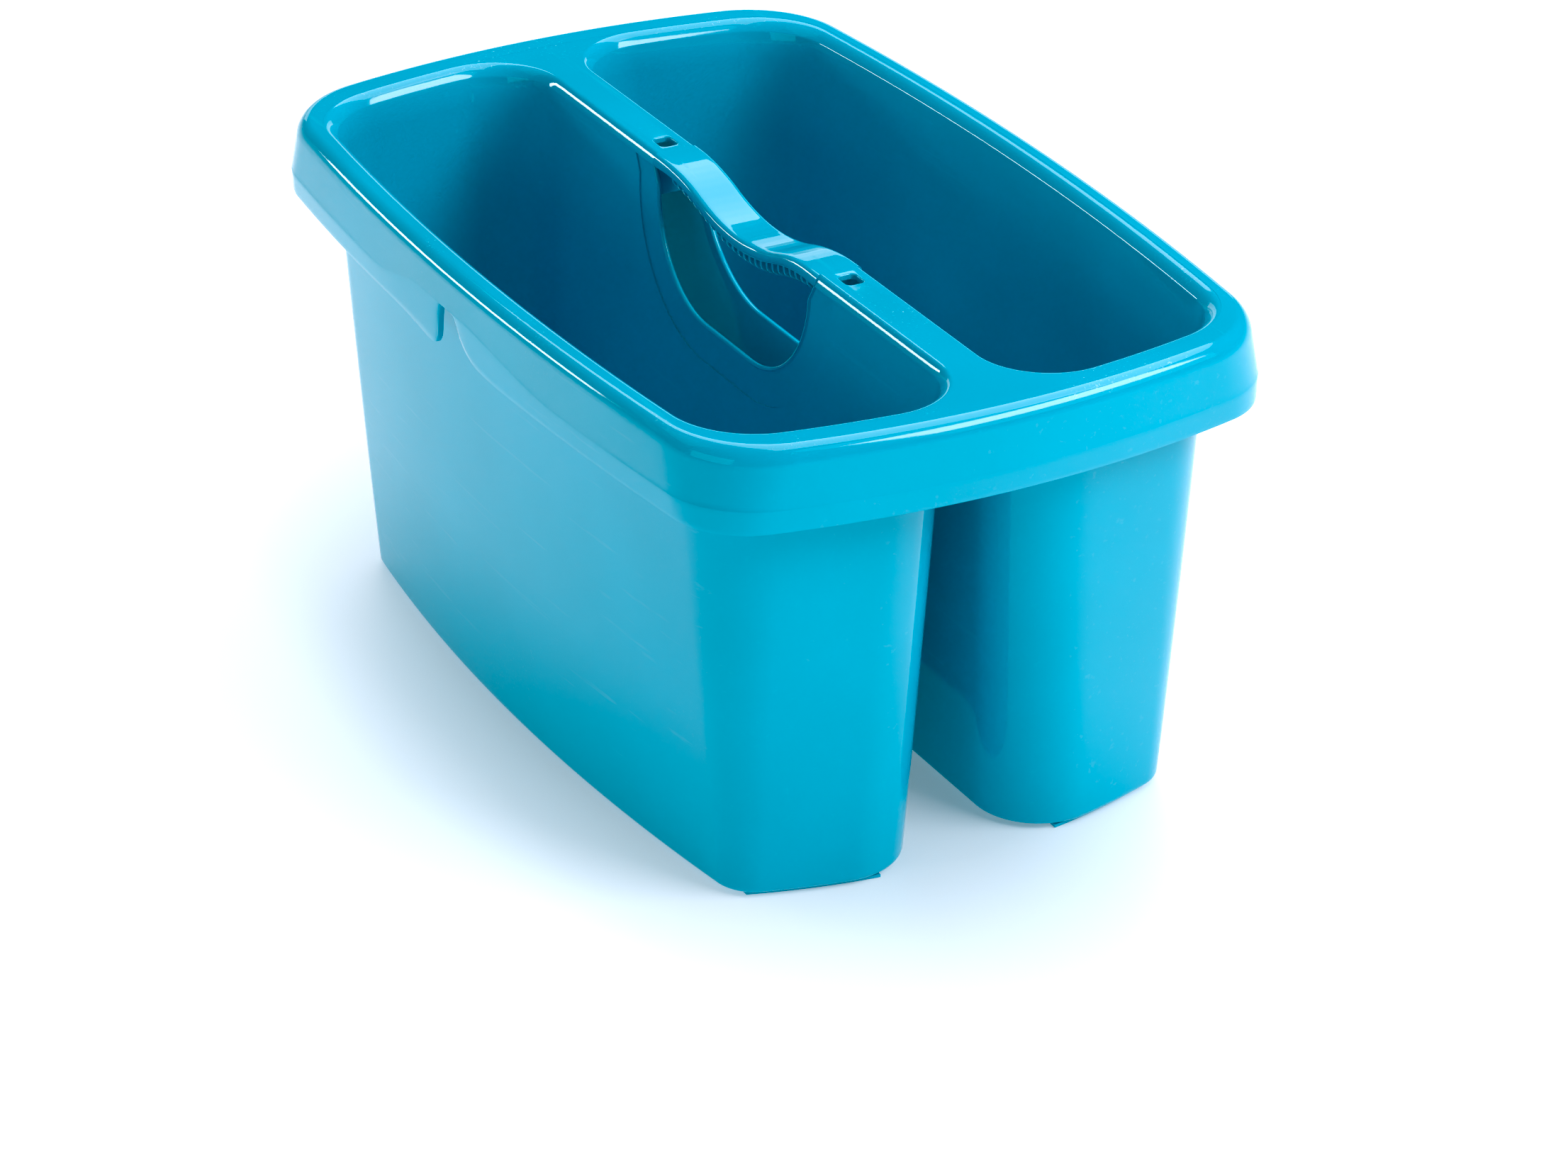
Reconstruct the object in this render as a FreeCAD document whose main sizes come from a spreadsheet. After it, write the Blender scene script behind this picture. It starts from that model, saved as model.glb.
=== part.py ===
import FreeCAD, Part
import math
import os

import Sketcher

# Two-compartment cleaning caddy: two deep tapered buckets hang from one broad rim, a gap runs between
# them, and a dipped carry handle joins the two halves of the rim over a hand opening.
# Frame: millimetres, +Z up, origin on the floor under the middle. X runs across the two buckets and
# Y along the divider, which is the long direction.

VALUES = {
    # overall
    "length": 400.0,
    "width": 260.6,
    "height": 198.5,
    # skins
    "wall": 2.2,
    "floor": 2.4,
    "deck": 2.4,
    # rim outline: bowed sides and ends with tangent corners
    "side_bow": 1490.0,
    "end_bow": 424.0,
    "skirt_corner": 32.2,
    "top_corner": 47.0,
    # skirt
    "skirt_depth": 32.0,
    "hem_height": 11.5,
    "hem_step": 0.5,
    "fascia_draft": 1.0,
    "roundover": 5.5,
    "crease_inset": 7.4,
    # mouths of the two buckets
    "mouth_side_margin": 15.2,
    "mouth_end_margin": 20.4,
    "mouth_corner": 34.0,
    "mouth_inner_corner": 27.5,
    "divider_half": 10.4,
    # bucket bottoms, outer faces
    "base_side": 105.9,
    "base_end": 173.6,
    "base_inner": 17.7,
    "base_side_bow": 1049.0,
    "base_end_bow": 262.0,
    "base_corner": 17.9,
    "base_inner_corner": 27.5,
    "base_round": 3.0,
    # foot strips
    "foot_height": 1.2,
    "foot_width": 6.0,
    "foot_inset": 3.2,
    "foot_start": 38.0,
    "foot_end": 88.0,
    # hand opening through both divider walls, and the frame round it
    "opening_depth": 53.5,
    "opening_flat": 18.0,
    "opening_round": 42.0,
    "opening_top": 65.0,
    "frame_border": 15.5,
    # handle
    "dip_run": 60.0,
    "dip": 9.5,
    "lip": 4.2,
    "rib_pitch": 4.5,
    "rib_thickness": 1.6,
    "rib_drop": 5.0,
    "rib_pairs": 12.0,
    # divider decks with their hook holes
    "deck_end": 150.0,
    "hook_across": 7.4,
    "hook_along": 9.0,
    "hook_place": 74.0,
    "hook_round": 1.6,
    # webs that close the gap under the two handle roots
    "web_depth": 15.5,
    "gusset_run": 7.0,
    "gusset_depth": 10.0,
    # drain notch half way along each long side of the skirt
    "notch_edge": 10.0,
    "notch_rise": 17.5,
    "notch_top_width": 8.0,
    "notch_sweep": 34.0,
}

doc = FreeCAD.newDocument("caddy")
sheet = doc.addObject("Spreadsheet::Sheet", "sizes")
for row, (alias, number) in enumerate(VALUES.items(), start=1):
    sheet.set(f"A{row}", alias)
    sheet.set(f"B{row}", repr(number))
    sheet.setAlias(f"B{row}", alias)
doc.recompute()


class Size:
    """A length that carries its value and the spreadsheet expression that gives it."""

    def __init__(self, value, expression):
        self.value = value
        self.expression = expression

    def __add__(self, other):
        return Size(self.value + other.value, f"({self.expression} + {other.expression})")

    def __sub__(self, other):
        return Size(self.value - other.value, f"({self.expression} - {other.expression})")

    def share(self, factor):
        return Size(self.value * factor, f"({self.expression} * {factor})")

    def between(self, other, fraction):
        """The size that lies this fraction (a plain number) of the way to another."""
        return self.share(1.0 - fraction) + other.share(fraction)


def size(alias):
    return Size(float(sheet.get(alias)), f"sizes.{alias}")


class Outline:
    """A closed outline of bowed sides and ends. A bucket's outline has one straight side at `inner`."""

    def __init__(self, side, end, side_bow, end_bow, corner, inner=None, inner_corner=None):
        self.side = side
        self.end = end
        self.side_bow = side_bow
        self.end_bow = end_bow
        self.corner = corner
        self.inner = inner
        self.inner_corner = inner_corner

    def inset(self, gap):
        """The parallel outline, `gap` inside this one."""
        inner = self.inner + gap if self.inner else None
        inner_corner = self.inner_corner - gap if self.inner else None
        return Outline(self.side - gap, self.end - gap, self.side_bow - gap, self.end_bow - gap,
                       self.corner - gap, inner, inner_corner)


def corner_centre(outline):
    """Centre of the corner arc that touches the side arc and the end arc from inside."""
    side_centre = outline.side.value - outline.side_bow.value
    end_centre = outline.end.value - outline.end_bow.value
    reach_side = outline.side_bow.value - outline.corner.value
    reach_end = outline.end_bow.value - outline.corner.value
    apart = math.hypot(side_centre, end_centre)
    along = (reach_side ** 2 - reach_end ** 2 + apart ** 2) / (2.0 * apart)
    across = math.sqrt(reach_side ** 2 - along ** 2)
    ux = -side_centre / apart
    uy = end_centre / apart
    return side_centre + along * ux - across * uy, along * uy + across * ux


def arc(x, y, radius, start, end):
    circle = Part.Circle(FreeCAD.Vector(x, y, 0), FreeCAD.Vector(0, 0, 1), radius)
    return Part.ArcOfCircle(circle, start, end)


def bind(sketch, kind, *items):
    """Adds one dimension whose value is a Size and ties it to the spreadsheet."""
    *where, length = items
    index = sketch.addConstraint(Sketcher.Constraint(kind, *where, length.value))
    name = f"size_{index}"
    sketch.renameConstraint(index, name)
    sketch.setExpression(f"Constraints.{name}", length.expression)


def new_sketch(body, name, role, offset=None):
    """A sketch on one of the body's own origin planes, moved along the plane's normal by `offset`."""
    sketch = body.newObject("Sketcher::SketchObject", name)
    plane = next(item for item in body.Origin.OriginFeatures if item.Role == role)
    sketch.AttachmentSupport = [(plane, "")]
    sketch.MapMode = "FlatFace"
    if offset:
        sketch.AttachmentOffset = FreeCAD.Placement(FreeCAD.Vector(0, 0, offset.value), FreeCAD.Rotation())
        sketch.setExpression("AttachmentOffset.Base.z", offset.expression)
    return sketch


def outline_sketch(body, name, outline, height):
    """The outline as a fully constrained sketch of tangent arcs, anticlockwise from the +X side."""
    sketch = new_sketch(body, name, "XY_Plane", height)
    side_x = outline.side.value - outline.side_bow.value
    end_y = outline.end.value - outline.end_bow.value
    cx, cy = corner_centre(outline)
    side_turn = math.atan2(cy, cx - side_x)
    end_turn = math.atan2(cy - end_y, cx)
    corner = outline.corner.value
    if outline.inner:
        inner_corner = outline.inner_corner.value
        ix = outline.inner.value + inner_corner
        iy = end_y + math.sqrt((outline.end_bow.value - inner_corner) ** 2 - ix ** 2)
        inner_turn = math.atan2(iy - end_y, ix)
        inner_side = Part.LineSegment(FreeCAD.Vector(outline.inner.value, iy, 0),
                                      FreeCAD.Vector(outline.inner.value, -iy, 0))
        inner_flat = math.pi
    else:
        inner_corner = corner
        ix, iy = -cx, cy
        inner_turn = math.pi - end_turn
        inner_flat = math.pi - side_turn
        inner_side = arc(-side_x, 0, outline.side_bow.value, inner_flat, 2 * math.pi - inner_flat)
    pieces = [
        arc(side_x, 0, outline.side_bow.value, -side_turn, side_turn),
        arc(cx, cy, corner, side_turn, end_turn),
        arc(0, end_y, outline.end_bow.value, end_turn, inner_turn),
        arc(ix, iy, inner_corner, inner_turn, inner_flat),
        inner_side,
        arc(ix, -iy, inner_corner, 2 * math.pi - inner_flat, 2 * math.pi - inner_turn),
        arc(0, -end_y, outline.end_bow.value, 2 * math.pi - inner_turn, 2 * math.pi - end_turn),
        arc(cx, -cy, corner, 2 * math.pi - end_turn, 2 * math.pi - side_turn),
    ]
    sketch.addGeometry(pieces, False)
    for index in range(len(pieces)):
        following = (index + 1) % len(pieces)
        sketch.addConstraint(Sketcher.Constraint("Tangent", index, 2, following, 1))
    side_reach = outline.side_bow - outline.side
    end_reach = outline.end_bow - outline.end
    sketch.addConstraint(Sketcher.Constraint("PointOnObject", 0, 3, -1))
    bind(sketch, "DistanceX", 0, 3, -1, 1, side_reach)
    bind(sketch, "Radius", 0, outline.side_bow)
    for index, first, second in ((2, (2, 3), (-1, 1)), (6, (-1, 1), (6, 3))):
        sketch.addConstraint(Sketcher.Constraint("PointOnObject", index, 3, -2))
        bind(sketch, "DistanceY", *first, *second, end_reach)
        bind(sketch, "Radius", index, outline.end_bow)
    for index in (1, 7):
        bind(sketch, "Radius", index, outline.corner)
    for index in (3, 5):
        bind(sketch, "Radius", index, outline.inner_corner if outline.inner else outline.corner)
    if outline.inner:
        bind(sketch, "DistanceX", -1, 1, 4, 1, outline.inner)
        sketch.addConstraint(Sketcher.Constraint("Vertical", 4))
    else:
        sketch.addConstraint(Sketcher.Constraint("PointOnObject", 4, 3, -1))
        bind(sketch, "DistanceX", -1, 1, 4, 3, side_reach)
        bind(sketch, "Radius", 4, outline.side_bow)
    return sketch


def loft(body, kind, name, levels):
    """A ruled loft through outlines at rising heights, given as (outline, height) pairs."""
    sketches = [outline_sketch(body, f"{name}_{index}", outline, level)
                for index, (outline, level) in enumerate(levels)]
    feature = body.newObject(f"PartDesign::{kind}Loft", name)
    feature.Profile = sketches[0]
    feature.Sections = sketches[1:]
    feature.Ruled = True
    return feature


ROUND_STEPS = 4


def rounded_edge(outline, level, radius, upward):
    """Levels that round an outline's edge: its face ends at `level`, the flat lies a radius beyond."""
    levels = []
    for step in range(1, ROUND_STEPS + 1):
        turn = math.pi / 2.0 * step / ROUND_STEPS
        rise = radius.share(round(math.sin(turn), 6))
        inset = radius.share(round(1.0 - math.cos(turn), 6))
        levels.append((outline.inset(inset), level + rise if upward else level - rise))
    return levels if upward else levels[::-1]


def pad(body, name, sketch, length, midplane=False, reverse=False):
    feature = body.newObject("PartDesign::Pad", name)
    feature.Profile = sketch
    feature.Length = length.value
    feature.setExpression("Length", length.expression)
    feature.Midplane = midplane
    feature.Reversed = reverse
    return feature


def pocket(body, name, sketch, length, midplane=False, reverse=False):
    """A pocket against the sketch's normal, or along it when reversed."""
    feature = body.newObject("PartDesign::Pocket", name)
    feature.Profile = sketch
    feature.Length = length.value
    feature.setExpression("Length", length.expression)
    feature.Midplane = midplane
    feature.Reversed = reverse
    return feature


def polygon_sketch(body, name, role, corners, offset=None):
    """A closed polygon whose corners are pairs of Sizes measured from the sketch's origin."""
    sketch = new_sketch(body, name, role, offset)
    points = [FreeCAD.Vector(first.value, second.value, 0) for first, second in corners]
    count = len(points)
    sketch.addGeometry([Part.LineSegment(points[i], points[(i + 1) % count]) for i in range(count)], False)
    for index in range(count):
        sketch.addConstraint(Sketcher.Constraint("Coincident", index, 2, (index + 1) % count, 1))
    for index, (first, second) in enumerate(corners):
        bind(sketch, "DistanceX", -1, 1, index, 1, first)
        bind(sketch, "DistanceY", -1, 1, index, 1, second)
    return sketch


def mirror(name, source, normal):
    """The opposite-handed copy of a piece, across the plane through the origin with this normal."""
    copy = doc.addObject("Part::Mirroring", name)
    copy.Source = source
    copy.Base = FreeCAD.Vector(0, 0, 0)
    copy.Normal = FreeCAD.Vector(*normal)
    return copy


ACROSS = (1, 0, 0)
ALONG = (0, 1, 0)

zero = size("wall") - size("wall")
height = size("height")
wall = size("wall")
deck_underside = height - size("deck")
skirt_bottom = height - size("skirt_depth")
hem_top = skirt_bottom + size("hem_height")
half_width = size("width").share(0.5)
half_length = size("length").share(0.5)
divider_half = size("divider_half")
foot_height = size("foot_height")
past = size("wall").share(2.0)

skirt_outline = Outline(half_width, half_length, size("side_bow"), size("end_bow"), size("skirt_corner"))
fascia_foot = skirt_outline.inset(size("hem_step"))
fascia_top = Outline(fascia_foot.side - size("fascia_draft"), fascia_foot.end - size("fascia_draft"),
                     fascia_foot.side_bow, fascia_foot.end_bow, size("top_corner"))
crease = fascia_top.inset(size("crease_inset"))

mouth = Outline(half_width - size("mouth_side_margin"), half_length - size("mouth_end_margin"),
                size("side_bow") - size("mouth_side_margin"), size("end_bow") - size("mouth_end_margin"),
                size("mouth_corner"), divider_half, size("mouth_inner_corner"))
base = Outline(size("base_side"), size("base_end"), size("base_side_bow"), size("base_end_bow"),
               size("base_corner"), size("base_inner"), size("base_inner_corner"))
collar = mouth.inset(zero - wall)
base_level = foot_height + size("base_round")
bucket_floor = foot_height + size("floor")
base_inside = base.inset(wall)

opening_bottom = height - size("opening_depth")
opening_flat = size("opening_flat")
opening_round = size("opening_round")
opening_top = size("opening_top")
border = size("frame_border")


def gap_face(level):
    """How far the divider wall's gap side stands from the middle plane at this height."""
    fraction = (level.value - base_level.value) / (deck_underside.value - base_level.value)
    return base.inner.between(collar.inner, fraction)


def bucket_face(level):
    """How far the divider wall's bucket side stands from the middle plane at this height."""
    fraction = (level.value - bucket_floor.value) / (deck_underside.value - bucket_floor.value)
    return base_inside.inner.between(mouth.inner, fraction)


def u_sketch(body, name, grow):
    """The hand opening's U, grown outwards by `grow` and closed across under the divider decks."""
    sketch = new_sketch(body, name, "YZ_Plane")
    radius = opening_round + grow
    centre_z = opening_bottom + opening_round
    mouth_y = opening_top + grow
    flat = opening_flat.value
    level = centre_z.value
    low = level - radius.value
    side = flat + radius.value
    top = deck_underside.value
    corners = [FreeCAD.Vector(*point, 0) for point in
               ((-flat, low), (flat, low), (side, level), (mouth_y.value, top),
                (-mouth_y.value, top), (-side, level))]
    sketch.addGeometry([
        Part.LineSegment(corners[0], corners[1]),
        arc(flat, level, radius.value, -math.pi / 2, 0.0),
        Part.LineSegment(corners[2], corners[3]),
        Part.LineSegment(corners[3], corners[4]),
        Part.LineSegment(corners[4], corners[5]),
        arc(-flat, level, radius.value, math.pi, 1.5 * math.pi),
    ], False)
    for first, second in (((0, 2), (1, 1)), ((5, 2), (0, 1))):
        sketch.addConstraint(Sketcher.Constraint("Tangent", *first, *second))
    for first, second in (((1, 2), (2, 1)), ((2, 2), (3, 1)), ((3, 2), (4, 1)), ((4, 2), (5, 1))):
        sketch.addConstraint(Sketcher.Constraint("Coincident", *first, *second))
    sketch.addConstraint(Sketcher.Constraint("Horizontal", 1, 3, 1, 2))
    sketch.addConstraint(Sketcher.Constraint("Horizontal", 5, 3, 5, 1))
    bind(sketch, "DistanceX", -1, 1, 1, 3, opening_flat)
    bind(sketch, "DistanceX", 5, 3, -1, 1, opening_flat)
    bind(sketch, "DistanceY", -1, 1, 1, 3, centre_z)
    bind(sketch, "DistanceY", -1, 1, 5, 3, centre_z)
    bind(sketch, "Radius", 1, radius)
    bind(sketch, "Radius", 5, radius)
    bind(sketch, "DistanceX", -1, 1, 3, 1, mouth_y)
    bind(sketch, "DistanceX", 3, 2, -1, 1, mouth_y)
    bind(sketch, "DistanceY", -1, 1, 3, 1, deck_underside)
    bind(sketch, "DistanceY", -1, 1, 3, 2, deck_underside)
    return sketch


def make_bucket():
    """One deep bucket: drafted walls, rounded base edge, and a U cut for the frame in its divider wall."""
    body = doc.addObject("PartDesign::Body", "bucket_right")
    loft(body, "Additive", "bucket_outside",
         rounded_edge(base, base_level, size("base_round"), upward=False)
         + [(base, base_level), (collar, deck_underside)])
    loft(body, "Subtractive", "bucket_inside", [(base_inside, bucket_floor), (mouth, deck_underside)])
    pocket(body, "bucket_frame_seat", u_sketch(body, "bucket_frame_cut", border),
           base_inside.inner + past, reverse=True)
    return body


def make_frame():
    """The U-shaped border of the hand opening, in the plane of the divider wall."""
    body = doc.addObject("PartDesign::Body", "grip_frame_right")
    low = opening_bottom - border - past
    high = deck_underside + past
    far = bucket_face(low) + past
    along = (opening_top + border + past).share(2.0)
    pad(body, "frame_block", u_sketch(body, "frame_rim", border), far)
    pocket(body, "frame_hand_opening", u_sketch(body, "frame_opening", zero), far, reverse=True)
    gap_side = [(zero - past, low), (gap_face(low), low), (gap_face(high), high), (zero - past, high)]
    pocket(body, "frame_gap_side", polygon_sketch(body, "frame_gap_section", "XZ_Plane", gap_side),
           along, midplane=True)
    bucket_side = [(bucket_face(low), low), (far + past, low), (far + past, high), (bucket_face(high), high)]
    pocket(body, "frame_bucket_side", polygon_sketch(body, "frame_bucket_section", "XZ_Plane", bucket_side),
           along, midplane=True)
    return body


def make_foot():
    """A low strip under the front edge of one bucket, following the bowed end."""
    body = doc.addObject("PartDesign::Body", "foot_right_front")
    sketch = new_sketch(body, "foot_plan", "XY_Plane")
    outer = base.end_bow - size("foot_inset")
    inner = outer - size("foot_width")
    centre = base.end_bow - base.end
    start, stop = size("foot_start"), size("foot_end")
    ends = {}
    for radius in (outer, inner):
        for place in (start, stop):
            ends[radius, place] = -math.acos(place.value / radius.value)
    rim_arc = arc(0, centre.value, outer.value, ends[outer, start], ends[outer, stop])
    back_arc = arc(0, centre.value, inner.value, ends[inner, start], ends[inner, stop])
    sketch.addGeometry([rim_arc, back_arc,
                        Part.LineSegment(rim_arc.StartPoint, back_arc.StartPoint),
                        Part.LineSegment(rim_arc.EndPoint, back_arc.EndPoint)], False)
    for line, end in ((2, 1), (3, 2)):
        sketch.addConstraint(Sketcher.Constraint("Coincident", line, 1, 0, end))
        sketch.addConstraint(Sketcher.Constraint("Coincident", line, 2, 1, end))
        sketch.addConstraint(Sketcher.Constraint("Vertical", line))
    for index, radius in ((0, outer), (1, inner)):
        sketch.addConstraint(Sketcher.Constraint("PointOnObject", index, 3, -2))
        bind(sketch, "DistanceY", -1, 1, index, 3, centre)
        bind(sketch, "Radius", index, radius)
    bind(sketch, "DistanceX", -1, 1, 2, 1, start)
    bind(sketch, "DistanceX", -1, 1, 3, 1, stop)
    pad(body, "foot_strip", sketch, foot_height)
    return body


def make_rim_deck():
    """The flat top ring of the rim, from the crease line in to the two mouths."""
    body = doc.addObject("PartDesign::Body", "rim_deck")
    pad(body, "deck_plate", outline_sketch(body, "deck_plan", crease, deck_underside), size("deck"))
    for side in ("right", "left"):
        plan = outline_sketch(body, f"deck_mouth_{side}", mouth, deck_underside)
        if side == "left":
            plan.AttachmentOffset = FreeCAD.Placement(
                FreeCAD.Vector(0, 0, deck_underside.value),
                FreeCAD.Rotation(FreeCAD.Vector(0, 0, 1), 180))
        pocket(body, f"deck_opening_{side}", plan, size("deck"), reverse=True)
    end = size("deck_end")
    strip = [(divider_half, zero - end), (divider_half, end),
             (zero - divider_half, end), (zero - divider_half, zero - end)]
    pocket(body, "deck_divider_seat", polygon_sketch(body, "deck_divider_plan", "XY_Plane", strip,
                                                     deck_underside), size("deck"), reverse=True)
    return body


def make_fascia():
    """The drafted face of the skirt with its large roundover, from the hem up to the crease line."""
    body = doc.addObject("PartDesign::Body", "rim_fascia")
    roundover = size("roundover")
    loft(body, "Additive", "fascia_outside",
         [(fascia_foot, hem_top), (fascia_top, height - roundover)]
         + rounded_edge(fascia_top, height - roundover, roundover, upward=True))
    loft(body, "Subtractive", "fascia_inside",
         [(fascia_foot.inset(wall), hem_top), (fascia_top.inset(wall + wall), deck_underside)])
    pocket(body, "fascia_deck_seat", outline_sketch(body, "fascia_crease", crease, deck_underside),
           size("deck") + past, reverse=True)
    pocket(body, "fascia_notch", notch_sketch(body, "fascia_notch_shape"), size("width") + past, midplane=True)
    return body


def make_hem(end, near, far):
    """Half of the low band along the skirt's bottom edge, a step proud of the fascia. The notches part it."""
    body = doc.addObject("PartDesign::Body", f"rim_hem_{end}")
    outside = outline_sketch(body, f"hem_{end}_plan", skirt_outline, skirt_bottom)
    inside = outline_sketch(body, f"hem_{end}_inner_plan", fascia_foot.inset(wall), skirt_bottom)
    pad(body, f"hem_{end}_band", outside, size("hem_height"))
    pocket(body, f"hem_{end}_hollow", inside, size("hem_height"), reverse=True)
    other = [(half_width + past, near), (half_width + past, far),
             (zero - half_width - past, far), (zero - half_width - past, near)]
    pocket(body, f"hem_{end}_half", polygon_sketch(body, f"hem_{end}_half_plan", "XY_Plane", other, skirt_bottom),
           size("hem_height"), reverse=True)
    pocket(body, f"hem_{end}_notch", notch_sketch(body, f"hem_{end}_notch_shape"),
           size("width") + past, midplane=True)
    return body


def notch_sketch(body, name):
    """The drain notch: a steep edge on one side, a flat top, and a swept edge back to the hem's foot."""
    edge = size("notch_edge")
    top = skirt_bottom + size("notch_rise")
    near = edge - size("notch_top_width")
    below = skirt_bottom - past
    return polygon_sketch(body, name, "YZ_Plane", [
        (edge, below), (edge, top), (near, top),
        (near - size("notch_sweep").share(0.22), skirt_bottom + size("notch_rise").share(0.45)),
        (edge - size("notch_sweep"), skirt_bottom), (edge - size("notch_sweep"), below)])


def make_divider_deck():
    """The flat top of the divider between the rim and the handle root, with its square hook hole."""
    body = doc.addObject("PartDesign::Body", "divider_deck_rear")
    start, end = opening_top, size("deck_end")
    plan = [(divider_half, start), (divider_half, end),
            (zero - divider_half, end), (zero - divider_half, start)]
    pad(body, "divider_plate", polygon_sketch(body, "divider_plan", "XY_Plane", plan, deck_underside),
        size("deck"))
    across, along = size("hook_across").share(0.5), size("hook_along").share(0.5)
    place = size("hook_place")
    hole = [(across, place - along), (across, place + along),
            (zero - across, place + along), (zero - across, place - along)]
    sketch = polygon_sketch(body, "hook_hole_plan", "XY_Plane", hole, deck_underside)
    cut = pocket(body, "hook_hole", sketch, size("deck"), reverse=True)
    doc.recompute()
    upright = [f"Edge{index}" for index, edge in enumerate(cut.Shape.Edges, start=1)
               if abs(edge.Vertexes[0].X) < divider_half.value - 0.01
               and abs(edge.Vertexes[0].X - edge.Vertexes[-1].X) < 0.01
               and abs(edge.Vertexes[0].Y - edge.Vertexes[-1].Y) < 0.01]
    corners = body.newObject("PartDesign::Fillet", "hook_hole_corners")
    corners.Base = (cut, upright)
    corners.Radius = size("hook_round").value
    corners.setExpression("Radius", size("hook_round").expression)
    return body


def dip_radius():
    """Radius of the two equal arcs that carry the handle down from its root to its lowest point."""
    run, dip = size("dip_run").value, size("dip").value
    return (run ** 2 + dip ** 2) / (4.0 * dip)


def handle_top(y):
    """Height of the handle's top above the floor at this distance along the divider."""
    run, dip, radius = size("dip_run").value, size("dip").value, dip_radius()
    away = abs(y)
    if away >= run:
        return height.value
    if away >= run / 2.0:
        return height.value - radius + math.sqrt(radius ** 2 - (run - away) ** 2)
    return height.value - dip + radius - math.sqrt(radius ** 2 - away ** 2)


def handle_band(lower, upper, half):
    """A strip that follows the handle's dip between two depths below its top, `half` wide each way."""
    stations = [-opening_top.value, -size("dip_run").value, -size("dip_run").value / 2.0, 0.0]
    stations += [-place for place in reversed(stations[:-1])]
    edges = []
    for depth in (lower, upper):
        places = [FreeCAD.Vector(-half, y, handle_top(y) - depth) for y in stations]
        middles = [FreeCAD.Vector(-half, (a + b) / 2.0, handle_top((a + b) / 2.0) - depth)
                   for a, b in zip(stations, stations[1:])]
        last = len(places) - 2
        for index, middle in enumerate(middles):
            if index in (0, last):
                edges.append(Part.makeLine(places[index], places[index + 1]))
            else:
                edges.append(Part.Arc(places[index], middle, places[index + 1]).toShape())
    for y in (stations[0], stations[-1]):
        edges.append(Part.makeLine(FreeCAD.Vector(-half, y, handle_top(y) - lower),
                                   FreeCAD.Vector(-half, y, handle_top(y) - upper)))
    face = Part.Face(Part.Wire(Part.__sortEdges__(edges)))
    return face.extrude(FreeCAD.Vector(2.0 * half, 0, 0))


def make_handle():
    """The carry handle: a dipped channel with side lips and a comb of arched ribs underneath."""
    half = divider_half.value
    inside = half - wall.value
    lip = size("lip").value
    channel = handle_band(lip, 0.0, half).cut(handle_band(lip + wall.value, size("deck").value, inside))
    above = handle_band(wall.value / 2.0, -height.value, half)
    pairs = int(size("rib_pairs").value)
    ribs = []
    for number in range(-pairs, pairs + 1):
        y = number * size("rib_pitch").value
        top = handle_top(y)
        start = y - size("rib_thickness").value / 2.0
        left = FreeCAD.Vector(-inside, start, top - lip)
        right = FreeCAD.Vector(inside, start, top - lip)
        crown = FreeCAD.Vector(0, start, top - lip - size("rib_drop").value)
        rise = FreeCAD.Vector(0, 0, lip)
        outline = [Part.Arc(left, crown, right).toShape(), Part.makeLine(right, right + rise),
                   Part.makeLine(right + rise, left + rise), Part.makeLine(left + rise, left)]
        plate = Part.Face(Part.Wire(outline)).extrude(FreeCAD.Vector(0, size("rib_thickness").value, 0))
        ribs.append(plate.cut(above))
    feature = doc.addObject("Part::Feature", "handle")
    feature.Shape = channel.fuse(ribs).removeSplitter()
    feature.Placement = FreeCAD.Placement()
    return feature


def make_end_web():
    """The web that closes the gap under a handle root, with a small gusset on its handle side."""
    body = doc.addObject("PartDesign::Body", "end_web_rear")
    low = deck_underside - size("web_depth")
    section = [(gap_face(low), low), (gap_face(deck_underside), deck_underside),
               (zero - gap_face(deck_underside), deck_underside), (zero - gap_face(low), low)]
    sketch = polygon_sketch(body, "web_section", "XZ_Plane", section, zero - opening_top)
    pad(body, "web_plate", sketch, wall, reverse=True)
    run = opening_top - size("gusset_run")
    gusset = [(opening_top + wall.share(0.5), deck_underside),
              (run, deck_underside),
              (opening_top, deck_underside - size("gusset_depth")),
              (opening_top + wall.share(0.5), deck_underside - size("gusset_depth"))]
    pad(body, "web_gusset", polygon_sketch(body, "gusset_section", "YZ_Plane", gusset),
        size("rib_thickness"), midplane=True)
    return body


def main():
    bucket = make_bucket()
    frame = make_frame()
    foot = make_foot()
    divider_deck = make_divider_deck()
    web = make_end_web()
    notch_middle = size("notch_edge") - size("notch_top_width").share(0.5)
    beyond = half_length + past
    rim = [make_rim_deck(), make_fascia(),
           make_hem("front", notch_middle, beyond), make_hem("rear", zero - beyond, notch_middle)]
    handle = make_handle()
    doc.recompute()
    foot_left = mirror("foot_left_front", foot, ACROSS)
    pieces = rim + [
        bucket, mirror("bucket_left", bucket, ACROSS),
        frame, mirror("grip_frame_left", frame, ACROSS),
        divider_deck, mirror("divider_deck_front", divider_deck, ALONG),
        web, mirror("end_web_front", web, ALONG),
        handle,
        foot, foot_left,
        mirror("foot_right_rear", foot, ALONG), mirror("foot_left_rear", foot_left, ALONG)]
    doc.recompute()
    for item in doc.Objects:
        if "Invalid" in item.State or "Error" in item.State:
            raise RuntimeError(f"{item.Name} did not recompute: {item.State}")
    for piece in pieces:
        shape = piece.Shape
        if shape.isNull() or not shape.isValid() or len(shape.Solids) != 1:
            raise RuntimeError(f"{piece.Label} is not one valid solid: {len(shape.Solids)}, {shape.isValid()}")
    os.makedirs("parts", exist_ok=True)
    for piece in pieces:
        piece.Shape.exportStep(f"parts/{piece.Label}.step")
        print(f"{piece.Label}: {piece.Shape.Volume / 1000.0:.2f} cm3")


main()
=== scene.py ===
import math

import bmesh
import bpy
from mathutils import Matrix, Vector


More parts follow.
